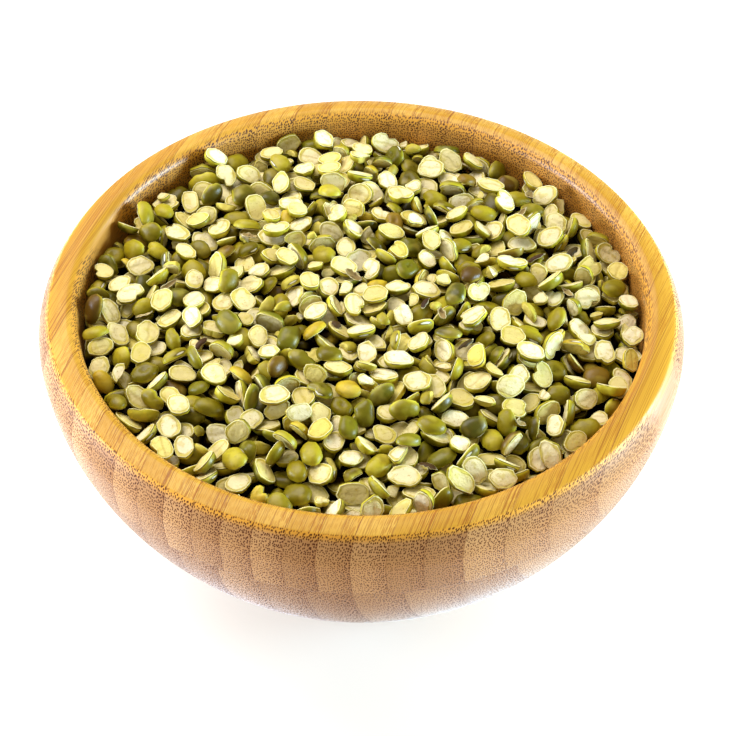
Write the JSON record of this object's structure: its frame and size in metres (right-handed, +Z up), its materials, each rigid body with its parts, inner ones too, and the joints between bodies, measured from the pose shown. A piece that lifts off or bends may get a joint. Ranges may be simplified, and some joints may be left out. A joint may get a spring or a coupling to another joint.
{
  "type": "bowl of split green lentils",
  "caption": "Small turned bamboo bowl with a flat foot, heaped with dry split green lentils, some with the cut face up and some with the skin up.",
  "frame": {"origin": "middle of the bowl's flat foot, on the surface that it stands on", "axes": "+Z up along the bowl's turning axis; the picture was taken from the -Y side, looking along +Y and down"},
  "size_m": [0.1158, 0.1158, 0.0536],
  "materials": {
    "bamboo": "satin oiled bamboo",
    "lentil": "dry split lentils, pale cut faces and green skins"
  },
  "bodies": {
    "root": {"bowl": "bamboo", "lentils": "lentil"}
  },
  "joints": []
}
